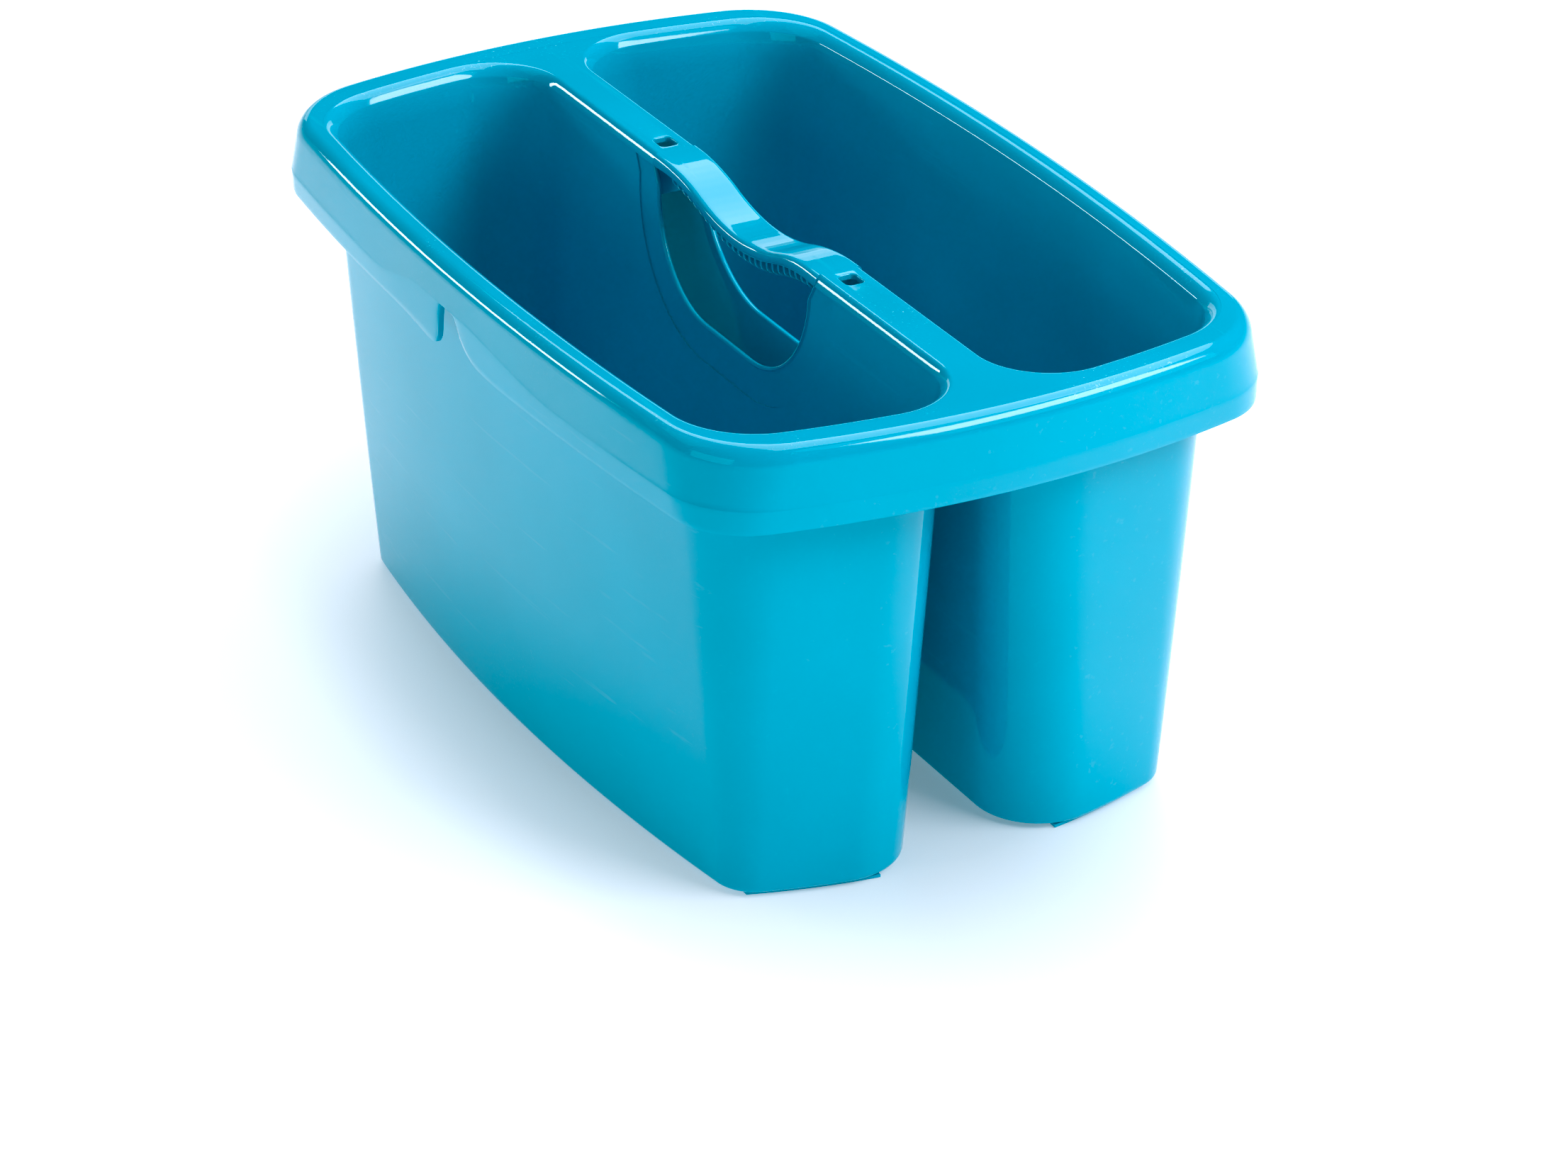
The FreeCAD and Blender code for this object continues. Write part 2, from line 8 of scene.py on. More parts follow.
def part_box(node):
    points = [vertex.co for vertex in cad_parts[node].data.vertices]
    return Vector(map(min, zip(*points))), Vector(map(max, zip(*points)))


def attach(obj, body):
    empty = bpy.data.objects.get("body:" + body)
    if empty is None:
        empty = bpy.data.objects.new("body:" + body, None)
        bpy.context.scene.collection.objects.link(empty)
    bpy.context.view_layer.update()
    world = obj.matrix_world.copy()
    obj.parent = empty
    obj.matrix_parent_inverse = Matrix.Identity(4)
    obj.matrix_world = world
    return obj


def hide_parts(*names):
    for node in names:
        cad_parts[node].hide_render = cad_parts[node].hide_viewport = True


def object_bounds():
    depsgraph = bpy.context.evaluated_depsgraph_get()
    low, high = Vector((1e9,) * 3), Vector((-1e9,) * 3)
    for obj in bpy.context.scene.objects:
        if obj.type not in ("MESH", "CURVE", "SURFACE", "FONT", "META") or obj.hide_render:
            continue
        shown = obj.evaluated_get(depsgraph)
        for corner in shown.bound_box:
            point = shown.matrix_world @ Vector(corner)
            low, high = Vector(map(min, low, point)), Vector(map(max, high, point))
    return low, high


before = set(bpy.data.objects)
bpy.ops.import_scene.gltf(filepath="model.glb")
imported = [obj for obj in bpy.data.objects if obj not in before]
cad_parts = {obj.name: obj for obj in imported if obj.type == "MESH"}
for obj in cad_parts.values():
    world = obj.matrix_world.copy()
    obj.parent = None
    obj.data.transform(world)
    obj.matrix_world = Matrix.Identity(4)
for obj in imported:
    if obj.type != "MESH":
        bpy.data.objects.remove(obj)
cad_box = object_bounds()

# Sizes are in millimetres, as a toolmaker writes them, and turned to metres when a mesh is made.
MM = 0.001
HEIGHT = (cad_box[1][2] - cad_box[0][2]) / MM
HALF_WIDTH = (cad_box[1][0] - cad_box[0][0]) / 2.0 / MM
HALF_LENGTH = (cad_box[1][1] - cad_box[0][1]) / 2.0 / MM

WALL = 2.2
FLOOR = 2.4
DECK = 2.4
UNDERSIDE = HEIGHT - DECK
BUCKET_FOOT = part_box("bucket_right")[0][2] / MM
SKIRT_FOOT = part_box("rim_hem_rear")[0][2] / MM

# The rim deck lies a hair below the band round it, which leaves the fine moulded crease line.
CREASE_STEP = 0.09
DECK_TOP = HEIGHT - CREASE_STEP


class Outline:
    """A closed outline in plan: bowed sides and ends with tangent corners. A bucket's has one straight
    side, at `inner` from the middle plane."""

    FIELDS = ("side", "end", "side_bow", "end_bow", "corner", "inner", "inner_corner")

    def __init__(self, side, end, side_bow, end_bow, corner, inner=None, inner_corner=None):
        self.side = side
        self.end = end
        self.side_bow = side_bow
        self.end_bow = end_bow
        self.corner = corner
        self.inner = inner
        self.inner_corner = inner_corner
        self.solve()

    def values(self):
        return [getattr(self, field) for field in self.FIELDS]

    def inset(self, gap):
        """The parallel outline this far inside (or outside, for a negative gap)."""
        signs = (-1, -1, -1, -1, -1, 1, -1)
        return Outline(*[None if value is None else value + sign * gap
                         for value, sign in zip(self.values(), signs)])

    def towards(self, other, share):
        """The outline this share of the way to another of the same kind."""
        return Outline(*[None if a is None else a + (b - a) * share
                         for a, b in zip(self.values(), other.values())])

    def solve(self):
        """Finds the corner centres, where each corner arc touches its side and its end."""
        side_x = self.side - self.side_bow
        end_y = self.end - self.end_bow
        reach_side = self.side_bow - self.corner
        reach_end = self.end_bow - self.corner
        apart = math.hypot(side_x, end_y)
        along = (reach_side ** 2 - reach_end ** 2 + apart ** 2) / (2.0 * apart)
        across = math.sqrt(reach_side ** 2 - along ** 2)
        cx = side_x - (along * side_x + across * end_y) / apart
        cy = (along * end_y - across * side_x) / apart
        side_turn = math.atan2(cy, cx - side_x)
        end_turn = math.atan2(cy - end_y, cx)
        arcs = [(side_x, 0.0, self.side_bow, -side_turn, side_turn),
                (cx, cy, self.corner, side_turn, end_turn)]
        if self.inner is None:
            arcs += [(0.0, end_y, self.end_bow, end_turn, math.pi - end_turn),
                     (-cx, cy, self.corner, math.pi - end_turn, math.pi - side_turn)]
            arcs += [(-x, -y, radius, start + math.pi, stop + math.pi) for x, y, radius, start, stop in arcs]
            self.arcs = arcs
            return
        ix = self.inner + self.inner_corner
        iy = end_y + math.sqrt((self.end_bow - self.inner_corner) ** 2 - ix ** 2)
        inner_turn = math.atan2(iy - end_y, ix)
        arcs += [(0.0, end_y, self.end_bow, end_turn, inner_turn),
                 (ix, iy, self.inner_corner, inner_turn, math.pi)]
        mirrored = [(x, -y, radius, -stop, -start) for x, y, radius, start, stop in arcs[:0:-1]]
        self.arcs = arcs + [("line", self.inner, iy, -iy)] + mirrored

    def at(self, piece, share):
        """The point this share of the way along one piece of the outline."""
        arc = self.arcs[piece]
        if arc[0] == "line":
            return arc[1], arc[2] + (arc[3] - arc[2]) * share
        x, y, radius, start, stop = arc
        turn = start + (stop - start) * share
        return x + radius * math.cos(turn), y + radius * math.sin(turn)

    def ring(self, counts):
        """Points round the whole outline, with that many steps along each piece."""
        return [self.at(piece, step / count) for piece, count in enumerate(counts) for step in range(count)]


SKIRT = Outline(HALF_WIDTH, HALF_LENGTH, 1490.0, 424.0, 32.2)
TOP_CORNER = 47.0
MOUTH = Outline(HALF_WIDTH - 15.2, HALF_LENGTH - 20.4, 1474.8, 403.6, 34.0, 10.4, 27.5)
LIP = Outline(HALF_WIDTH - 9.9, HALF_LENGTH - 15.5, 1480.1, 408.5, 36.0, 7.1, 30.0)
CREASE = Outline(LIP.side, LIP.end, LIP.side_bow, LIP.end_bow, LIP.corner)
BASE = Outline(105.9, 173.6, 1049.0, 262.0, 17.9, 17.7, 27.5)
COLLAR = MOUTH.inset(-WALL)
BASE_ROUND = 3.0
FLOOR_ROUND = 6.0
LIP_DROP = 4.5

BUCKET_STEPS = (72, 22, 40, 24, 64, 24, 40, 22)

OPENING_BOTTOM = 145.0
OPENING_FLAT = 18.0
OPENING_ROUND = 42.0
OPENING_TOP = 65.0
BORDER = 15.5
FRAME_TOP = DECK_TOP - LIP_DROP

root_pieces = []


def quarter(steps):
    """Shares of a quarter turn, as (how far across, how far up), from flat start to upright end."""
    turns = [math.pi / 2.0 * step / steps for step in range(steps + 1)]
    return [(1.0 - math.cos(turn), math.sin(turn)) for turn in turns]


def lip_profile(steps):
    """The mouth's lip as (share across, share up): steep off the wall, then rolling over to flat."""
    shares = [step / steps for step in range(1, steps + 1)]
    return [(share, 1.0 - (1.0 - share) ** 2.0) for share in shares]


def make_piece(name, points, faces, sharp=32.0):
    """One object from points in millimetres and faces, smooth but for edges sharper than `sharp` degrees."""
    mesh = bpy.data.meshes.new(name)
    mesh.from_pydata([Vector(point) * MM for point in points], [], faces)
    mesh.validate()
    work = bmesh.new()
    work.from_mesh(mesh)
    bmesh.ops.remove_doubles(work, verts=work.verts, dist=1e-7)
    bmesh.ops.recalc_face_normals(work, faces=work.faces)
    work.to_mesh(mesh)
    work.free()
    piece = bpy.data.objects.new(name, mesh)
    bpy.context.scene.collection.objects.link(piece)
    smooth(piece, sharp)
    return piece


def smooth(piece, sharp):
    mesh = piece.data
    mesh.polygons.foreach_set("use_smooth", [True] * len(mesh.polygons))
    mesh.set_sharp_from_angle(angle=math.radians(sharp))


def bridge(rings, closed_rings=False):
    """Quads between rings of equal length. closed_rings also joins the last ring to the first."""
    faces = []
    width = len(rings[0])
    pairs = len(rings) if closed_rings else len(rings) - 1
    for level in range(pairs):
        low = level * width
        high = ((level + 1) % len(rings)) * width
        for step in range(width):
            after = (step + 1) % width
            faces.append((low + step, low + after, high + after, high + step))
    return faces


def flatten(rings):
    return [point for ring in rings for point in ring]


def settle(piece, *nodes):
    """The piece rides on the root body and stands for those nodes of the frame."""
    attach(piece, "root")
    if nodes:
        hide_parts(*nodes)
    root_pieces.append(piece)
    return piece


def mirrored(points, across):
    """Points mirrored over the middle plane, where asked."""
    return [(-x, y, z) for x, y, z in points] if across else points


def baked(piece):
    """The piece with its modifiers made part of its mesh."""
    graph = bpy.context.evaluated_depsgraph_get()
    mesh = bpy.data.meshes.new_from_object(piece.evaluated_get(graph), depsgraph=graph)
    piece.modifiers.clear()
    piece.data = mesh
    return piece


def opening_edge(grow, top, steps):
    """The hand opening's U as (y, z) points, grown outwards, from its rear top edge round to the front."""
    radius = OPENING_ROUND + grow
    centre = OPENING_BOTTOM + OPENING_ROUND
    side = OPENING_FLAT + radius
    flare = (OPENING_TOP + grow - side) * (top - centre) / (UNDERSIDE - centre)
    half = [(side + flare * (1.0 - step / 6.0), centre + (top - centre) * (1.0 - step / 6.0))
            for step in range(6)]
    half += [(OPENING_FLAT + radius * math.cos(turn), centre - radius * math.sin(turn))
             for turn in (math.pi / 2.0 * step / steps for step in range(steps + 1))]
    half += [(OPENING_FLAT * (1.0 - step / 6.0), centre - radius) for step in range(1, 6)]
    return half + [(0.0, centre - radius)] + [(-y, z) for y, z in half[::-1]]


def wall_faces(z):
    """Where the divider wall's gap side and bucket side stand at this height."""
    low = BUCKET_FOOT + BASE_ROUND
    share = (z - low) / (UNDERSIDE - low)
    gap = BASE.inner + (COLLAR.inner - BASE.inner) * share
    floor = BUCKET_FOOT + FLOOR
    share = (z - floor) / (UNDERSIDE - floor)
    inside = BASE.inner + WALL + (MOUTH.inner - BASE.inner - WALL) * share
    return gap, inside


def bucket(side):
    """A deep bucket as one drafted shell, from its floor up over the rolled lip of its mouth."""
    floor = BUCKET_FOOT + FLOOR
    inside = BASE.inset(WALL)
    levels = [(inside.inset(FLOOR_ROUND * 2.0), floor), (inside.inset(FLOOR_ROUND), floor)]
    for across, up in quarter(7)[1:]:
        levels.append((inside.inset(FLOOR_ROUND * (1.0 - up)), floor + FLOOR_ROUND * across))
    rows = 16
    wall_top = DECK_TOP - LIP_DROP
    foot_share = FLOOR_ROUND / (UNDERSIDE - floor)
    for row in range(1, rows + 1):
        share = foot_share + (1.0 - foot_share) * row / rows
        z = floor + FLOOR_ROUND + (wall_top - floor - FLOOR_ROUND) * row / rows
        levels.append((inside.towards(MOUTH, share), z))
    for across, up in lip_profile(14):
        levels.append((MOUTH.towards(LIP, across), wall_top + LIP_DROP * up))
    levels += [(LIP, UNDERSIDE), (COLLAR, UNDERSIDE)]
    base_level = BUCKET_FOOT + BASE_ROUND
    for row in range(1, rows + 1):
        share = row / rows
        levels.append((COLLAR.towards(BASE, share), UNDERSIDE + (base_level - UNDERSIDE) * share))
    for across, up in quarter(6)[1:]:
        levels.append((BASE.inset(BASE_ROUND * across), base_level - BASE_ROUND * up))
    levels.append((BASE.inset(BASE_ROUND * 4.0), BUCKET_FOOT))
    rings = [[(x, y, z) for x, y in outline.ring(BUCKET_STEPS)] for outline, z in levels]
    faces = bridge(rings)
    width = len(rings[0])
    faces.append(tuple(range(width))[::-1])
    faces.append(tuple(range((len(rings) - 1) * width, len(rings) * width)))
    piece = make_piece(f"bucket_{side}_shell", mirrored(flatten(rings), side == "left"), faces)
    cut_opening(piece, side)
    return settle(piece, f"bucket_{side}")


def cut_opening(piece, side):
    """Takes the U of the grip frame and the span under the handle out of the divider wall."""
    reach = BASE.inner + WALL + 6.0
    outlines = [opening_edge(BORDER, FRAME_TOP, 24)]
    outlines.append([(OPENING_TOP, HEIGHT + 5.0), (OPENING_TOP, FRAME_TOP - 1.0),
                     (-OPENING_TOP, FRAME_TOP - 1.0), (-OPENING_TOP, HEIGHT + 5.0)])
    for outline in outlines:
        rings = [[(x, y, z) for y, z in outline] for x in (2.0, reach)]
        count = len(outline)
        faces = bridge(rings) + [tuple(range(count)), tuple(range(2 * count - 1, count - 1, -1))]
        cutter = make_piece("opening_cutter", mirrored(flatten(rings), side == "left"), faces)
        cut = piece.modifiers.new("opening", "BOOLEAN")
        cut.operation = "DIFFERENCE"
        cut.solver = "EXACT"
        cut.object = cutter
        baked(piece)
        bpy.data.objects.remove(cutter)
    smooth(piece, 32.0)


def grip_frame(side):
    """The U-shaped border of the hand opening: bull-nosed where the fingers go, and set a hair behind the
    wall's face, whose cut edge draws a fine bright line round it."""
    inner = opening_edge(0.0, FRAME_TOP, 30)
    outer = opening_edge(BORDER, FRAME_TOP, 30)
    nose = WALL / 2.0
    set_back = 0.7
    section = [(share, WALL - set_back) for share in (1.0, 0.8, 0.55, 0.3, 0.12)]
    turns = [math.pi * step / 10.0 for step in range(11)]
    section += [(nose * (1.0 - math.sin(turn)) / BORDER, nose + nose * math.cos(turn)) for turn in turns]
    section += [(0.4, 0.0), (1.0, 0.0)]
    rings = []
    for (iy, iz), (oy, oz) in zip(inner, outer):
        ring = []
        for share, depth in section:
            y = iy + (oy - iy) * share
            z = iz + (oz - iz) * share
            ring.append((wall_faces(z)[0] + depth, y, z))
        rings.append(ring)
    faces = bridge(rings)
    count = len(section)
    faces += [tuple(range(count)), tuple(range(len(rings) * count - 1, (len(rings) - 1) * count - 1, -1))]
    piece = make_piece(f"grip_frame_{side}_border", mirrored(flatten(rings), side == "left"), faces, 40.0)
    return settle(piece, f"grip_frame_{side}")


# The skirt's foot line round the notch in each long side, as (y, z) from the rear to the front: the hem
# hangs down into a rounded tab, rises steeply beside it, and sweeps back down to the general foot line.
NOTCH = [(62.0, 0.0), (44.0, -0.4), (30.0, -1.6), (20.5, -2.6), (15.2, -1.9), (12.9, 1.2), (12.1, 6.0),
         (11.4, 11.5), (9.6, 16.3), (6.6, 17.7), (3.0, 17.2), (-1.0, 14.9), (-4.6, 10.6), (-8.6, 6.2),
         (-14.0, 2.8), (-21.0, 1.0), (-32.0, 0.2), (-46.0, 0.0)]
NOTCH_STEPS = 96

# Steps along each piece of the skirt's outline; the two long sides take theirs from the notch instead.
RIGHT_SIDE, LEFT_SIDE = 0, 4
SKIRT_STEPS = (0, 26, 64, 26, 0, 26, 64, 26)
SIDE_STEPS = 24

HEM_HEIGHT = 9.6
HEM_RISE = 7.4
HEM_LEAN = 1.1
HEM_STEP = 0.07
HEM_EDGE = 0.4
ROUNDOVER = 5.2
ROUNDOVER_DROP = 6.8
FASCIA_TOP = HEIGHT - ROUNDOVER_DROP
FASCIA_LEAN = 1.3


def spline(points, count):
    """Evenly spaced points along the smooth curve through the given ones."""
    dense = []
    for index in range(len(points) - 1):
        before = points[max(index - 1, 0)]
        start, stop = points[index], points[index + 1]
        after = points[min(index + 2, len(points) - 1)]
        for step in range(16):
            t = step / 16.0
            dense.append(tuple(
                0.5 * (2 * b + (c - a) * t + (2 * a - 5 * b + 4 * c - d) * t * t
                       + (3 * b - a - 3 * c + d) * t ** 3)
                for a, b, c, d in zip(before, start, stop, after)))
    dense.append(points[-1])
    lengths = [0.0]
    for first, second in zip(dense, dense[1:]):
        lengths.append(lengths[-1] + math.dist(first, second))
    result = []
    index = 0
    for step in range(count + 1):
        goal = lengths[-1] * step / count
        while index < len(lengths) - 2 and lengths[index + 1] < goal:
            index += 1
        share = (goal - lengths[index]) / (lengths[index + 1] - lengths[index])
        result.append(tuple(a + (b - a) * share for a, b in zip(dense[index], dense[index + 1])))
    return result


def ease(low, high, value):
    """0 below low, 1 above high, and a smooth step between."""
    t = min(max((value - low) / (high - low), 0.0), 1.0)
    return t * t * (3.0 - 2.0 * t)


def hem_line(y):
    """Height of the line between hem and fascia on a long side: it lifts over the notch."""
    lift = ease(72.0, 26.0, y) if y > 0 else 1.0 - ease(-2.0, -86.0, y)
    return SKIRT_FOOT + HEM_HEIGHT + HEM_RISE * lift


def skirt_outline(z, inset):
    """The skirt's outline at a height: its corners grow rounder towards the top."""
    share = min(max((z - SKIRT_FOOT) / (HEIGHT - SKIRT_FOOT), 0.0), 1.0)
    corner = SKIRT.corner + (TOP_CORNER - SKIRT.corner) * share
    return Outline(SKIRT.side - inset, SKIRT.end - inset, SKIRT.side_bow - inset, SKIRT.end_bow - inset,
                   corner - inset)


def skirt_columns():
    """Columns round the skirt, each as (piece of the outline, its share at the foot, foot height, hem line
    height, its share at the top). Near the notch the columns fan out from the notch's own edge."""
    reach = SKIRT.arcs[0][2] * math.sin(SKIRT.arcs[0][4])

    def share_of(y):
        return 0.5 + 0.5 * math.asin(y / SKIRT.side_bow) / SKIRT.arcs[0][4]

    notch = spline(NOTCH, NOTCH_STEPS)
    rear, front = NOTCH[0][0], NOTCH[-1][0]
    stretch = []
    for step in range(SIDE_STEPS):
        y = reach + (rear - reach) * step / SIDE_STEPS
        stretch.append((y, SKIRT_FOOT, y))
    for index, (y, rise) in enumerate(notch):
        stretch.append((y, SKIRT_FOOT + rise, rear + (front - rear) * index / NOTCH_STEPS))
    for step in range(1, SIDE_STEPS + 2):
        y = front + (-reach - front) * step / (SIDE_STEPS + 2)
        stretch.append((y, SKIRT_FOOT, y))
    right = [(share_of(y), foot, hem_line((y + top_y) / 2.0), share_of(top_y)) for y, foot, top_y in stretch]
    left = [(1.0 - low, foot, hem, 1.0 - high) for low, foot, hem, high in right]
    columns = []
    for piece, count in enumerate(SKIRT_STEPS):
        if piece == RIGHT_SIDE:
            columns += [(piece, *column) for column in right[::-1]]
        elif piece == LEFT_SIDE:
            columns += [(piece, *column) for column in left]
        else:
            columns += [(piece, step / count, SKIRT_FOOT, SKIRT_FOOT + HEM_HEIGHT, step / count)
                        for step in range(count)]
    return columns


def rim_skirt():
    """The rim's outer band: hem, drafted fascia, roundover and flat top out to the crease line, as one
    closed shell with the wall's thickness."""
    columns = skirt_columns()
    rows = []

    def row(kind, share, inset, lift=0.0):
        ring = []
        for piece, low, foot, hem, high in columns:
            span = (hem - foot) / (FASCIA_TOP - foot)
            at = span * share if kind == "hem" else span + (1.0 - span) * share
            z = foot + (FASCIA_TOP - foot) * at + lift
            x, y = skirt_outline(z, inset).at(piece, low + (high - low) * at)
            ring.append((x, y, z))
        rows.append(ring)

    def top_row(outline, z):
        rows.append([(*outline.at(piece, high), z) for piece, _, _, _, high in columns])

    edge = HEM_EDGE
    row("hem", 0.0, HEM_LEAN + edge)
    row("hem", 0.0, HEM_LEAN + 0.12, edge * 0.35)
    row("hem", 0.0, HEM_LEAN, edge)
    for step in range(1, 6):
        row("hem", step / 5.0, HEM_LEAN * (1.0 - step / 5.0))
    row("hem", 1.0, HEM_STEP * 0.3, 0.12)
    row("hem", 1.0, HEM_STEP, 0.3)
    slope = FASCIA_LEAN / (FASCIA_TOP - SKIRT_FOOT - HEM_HEIGHT)
    for step in range(1, 9):
        share = step / 8.0
        row("fascia", share, HEM_STEP + FASCIA_LEAN * share, 0.3 * (1.0 - share))
    for across, up in quarter(18)[1:]:
        z = FASCIA_TOP + ROUNDOVER_DROP * up
        lean = HEM_STEP + FASCIA_LEAN + slope * ROUNDOVER_DROP * up
        top_row(skirt_outline(z, lean + ROUNDOVER * across), z)
    band_edge = HEM_STEP + FASCIA_LEAN + slope * ROUNDOVER_DROP + ROUNDOVER
    last = skirt_outline(HEIGHT, band_edge)
    for step in range(1, 5):
        top_row(last.towards(CREASE, step / 4.0), HEIGHT)
    top_row(CREASE, UNDERSIDE)
    inside = HEM_STEP + FASCIA_LEAN + WALL
    for across, up in quarter(6):
        z = UNDERSIDE - (ROUNDOVER_DROP - DECK) * across
        top_row(skirt_outline(z, inside + (ROUNDOVER - WALL) * (1.0 - up)), z)
    for share in (1.0, 0.6, 0.2):
        row("fascia", share, HEM_STEP + FASCIA_LEAN * share + WALL)
    for share in (0.9, 0.45):
        row("hem", share, HEM_LEAN * (1.0 - share) + WALL)
    row("hem", 0.0, HEM_LEAN + WALL, edge)
    row("hem", 0.0, HEM_LEAN + WALL - edge * 0.6)
    piece = make_piece("rim_skirt", flatten(rows), bridge(rows, closed_rings=True), 38.0)
    return settle(piece, "rim_fascia", "rim_hem_front", "rim_hem_rear")


def plate(name, outline, holes, top, bottom):
    """A flat plate: a filled plan outline with holes, extruded down."""
    work = bmesh.new()
    for loop in [outline] + holes:
        verts = [work.verts.new((x * MM, y * MM, top * MM)) for x, y in loop]
        for first, second in zip(verts, verts[1:] + verts[:1]):
            work.edges.new((first, second))
    filled = bmesh.ops.triangle_fill(work, use_beauty=True, edges=work.edges[:], normal=(0, 0, 1))
    faces = [item for item in filled["geom"] if isinstance(item, bmesh.types.BMFace)]
    grown = bmesh.ops.extrude_face_region(work, geom=faces)
    moved = [item for item in grown["geom"] if isinstance(item, bmesh.types.BMVert)]
    bmesh.ops.translate(work, verts=moved, vec=(0, 0, (bottom - top) * MM))
    bmesh.ops.recalc_face_normals(work, faces=work.faces)
    mesh = bpy.data.meshes.new(name)
    work.to_mesh(mesh)
    work.free()
    piece = bpy.data.objects.new(name, mesh)
    bpy.context.scene.collection.objects.link(piece)
    smooth(piece, 32.0)
    return piece


DECK_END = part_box("divider_deck_rear")[1][1] / MM


def rim_deck():
    """The flat field at each end of the divider, between the two lips and the crease line."""
    corner = [LIP.at(3, step / 24.0) for step in range(25)]
    outline = [(LIP.inner, DECK_END)] + corner[::-1]
    corner_x = LIP.at(2, 1.0)[0]
    centre = LIP.end - LIP.end_bow
    for step in range(1, 24):
        x = corner_x - 2.0 * corner_x * step / 24.0
        outline.append((x, centre + math.sqrt(LIP.end_bow ** 2 - x ** 2)))
    outline += [(-x, y) for x, y in corner] + [(-LIP.inner, DECK_END)]
    rear = plate("rim_deck_field", outline, [], DECK_TOP, UNDERSIDE)
    front = rear.data.copy()
    front.transform(Matrix.Scale(-1.0, 4, (0, 1, 0)))
    front.flip_normals()
    work = bmesh.new()
    work.from_mesh(rear.data)
    work.from_mesh(front)
    work.to_mesh(rear.data)
    work.free()
    bpy.data.meshes.remove(front)
    smooth(rear, 32.0)
    return settle(rear, "rim_deck")


HOOK_HOLE = (7.4, 9.0)
HOOK_PLACE = 74.0
HOOK_ROUND = 2.0


def rounded_square(width, depth, radius, place, count=6):
    """A rounded rectangle in plan, anticlockwise, centred at (0, place)."""
    points = []
    for quadrant, (sx, sy) in enumerate(((1, 1), (-1, 1), (-1, -1), (1, -1))):
        cx = sx * (width / 2.0 - radius)
        cy = place + sy * (depth / 2.0 - radius)
        for step in range(count + 1):
            turn = math.pi / 2.0 * (quadrant + step / count)
            points.append((cx + radius * math.cos(turn), cy + radius * math.sin(turn)))
    return points


def divider_deck(end):
    """The flat strip of the divider with its square hook hole, whose edge is softly rounded."""
    way = 1.0 if end == "rear" else -1.0
    soft = 0.8
    wide = rounded_square(HOOK_HOLE[0] + 2 * soft, HOOK_HOLE[1] + 2 * soft, HOOK_ROUND + soft, HOOK_PLACE)
    strip = [(LIP.inner, OPENING_TOP), (LIP.inner, DECK_END),
             (-LIP.inner, DECK_END), (-LIP.inner, OPENING_TOP)]
    work = bmesh.new()
    loops = []
    for loop in (strip, wide):
        verts = [work.verts.new((x, y * way, DECK_TOP)) for x, y in loop]
        loops.append(verts)
        for first, second in zip(verts, verts[1:] + verts[:1]):
            work.edges.new((first, second))
    bmesh.ops.triangle_fill(work, use_beauty=True, edges=work.edges[:], normal=(0, 0, 1))
    rings = [loops[1]]
    for index in range(1, 5):
        turn = math.pi / 2.0 * index / 4.0
        grow = soft * (1.0 - math.sin(turn))
        z = DECK_TOP - soft * (1.0 - math.cos(turn))
        ring = rounded_square(HOOK_HOLE[0] + 2 * grow, HOOK_HOLE[1] + 2 * grow,
                              HOOK_ROUND + grow, HOOK_PLACE)
        rings.append([work.verts.new((x, y * way, z)) for x, y in ring])
    narrow = rounded_square(*HOOK_HOLE, HOOK_ROUND, HOOK_PLACE)
    rings.append([work.verts.new((x, y * way, UNDERSIDE)) for x, y in narrow])
    for upper, lower in zip(rings, rings[1:]):
        for step in range(len(upper)):
            after = (step + 1) % len(upper)
            work.faces.new((upper[step], upper[after], lower[after], lower[step]))
    under = [work.verts.new((x, y * way, UNDERSIDE)) for x, y in strip]
    for step in range(4):
        after = (step + 1) % 4
        work.faces.new((loops[0][step], loops[0][after], under[after], under[step]))
    edges = []
    for verts in (under, rings[-1]):
        for first, second in zip(verts, verts[1:] + verts[:1]):
            found = work.edges.get((first, second))
            edges.append(found or work.edges.new((first, second)))
    bmesh.ops.triangle_fill(work, use_beauty=True, edges=edges, normal=(0, 0, -1))
    bmesh.ops.scale(work, vec=(MM, MM, MM), verts=work.verts)
    bmesh.ops.recalc_face_normals(work, faces=work.faces)
    mesh = bpy.data.meshes.new(f"divider_deck_{end}_strip")
    work.to_mesh(mesh)
    work.free()
    piece = bpy.data.objects.new(f"divider_deck_{end}_strip", mesh)
    bpy.context.scene.collection.objects.link(piece)
    smooth(piece, 50.0)
    return settle(piece, f"divider_deck_{end}")


DIP_RUN = 60.0
DIP = 9.5
RIB_PITCH = 4.5
RIB_PAIRS = 12
RIB_ROOT = 3.4
RIB_DROP = 7.4
RIB_FULLNESS = 0.5
HANDLE_LIP = LIP_DROP
SINK = 0.012


def handle_top(y):
    """Height of the handle's top: two equal arcs carry it from each root down to the middle."""
    radius = (DIP_RUN ** 2 + DIP ** 2) / (4.0 * DIP)
    away = abs(y)
    if away >= DIP_RUN:
        return DECK_TOP
    if away >= DIP_RUN / 2.0:
        return DECK_TOP - radius + math.sqrt(radius ** 2 - (DIP_RUN - away) ** 2)
    return DECK_TOP - DIP + radius - math.sqrt(radius ** 2 - away ** 2)


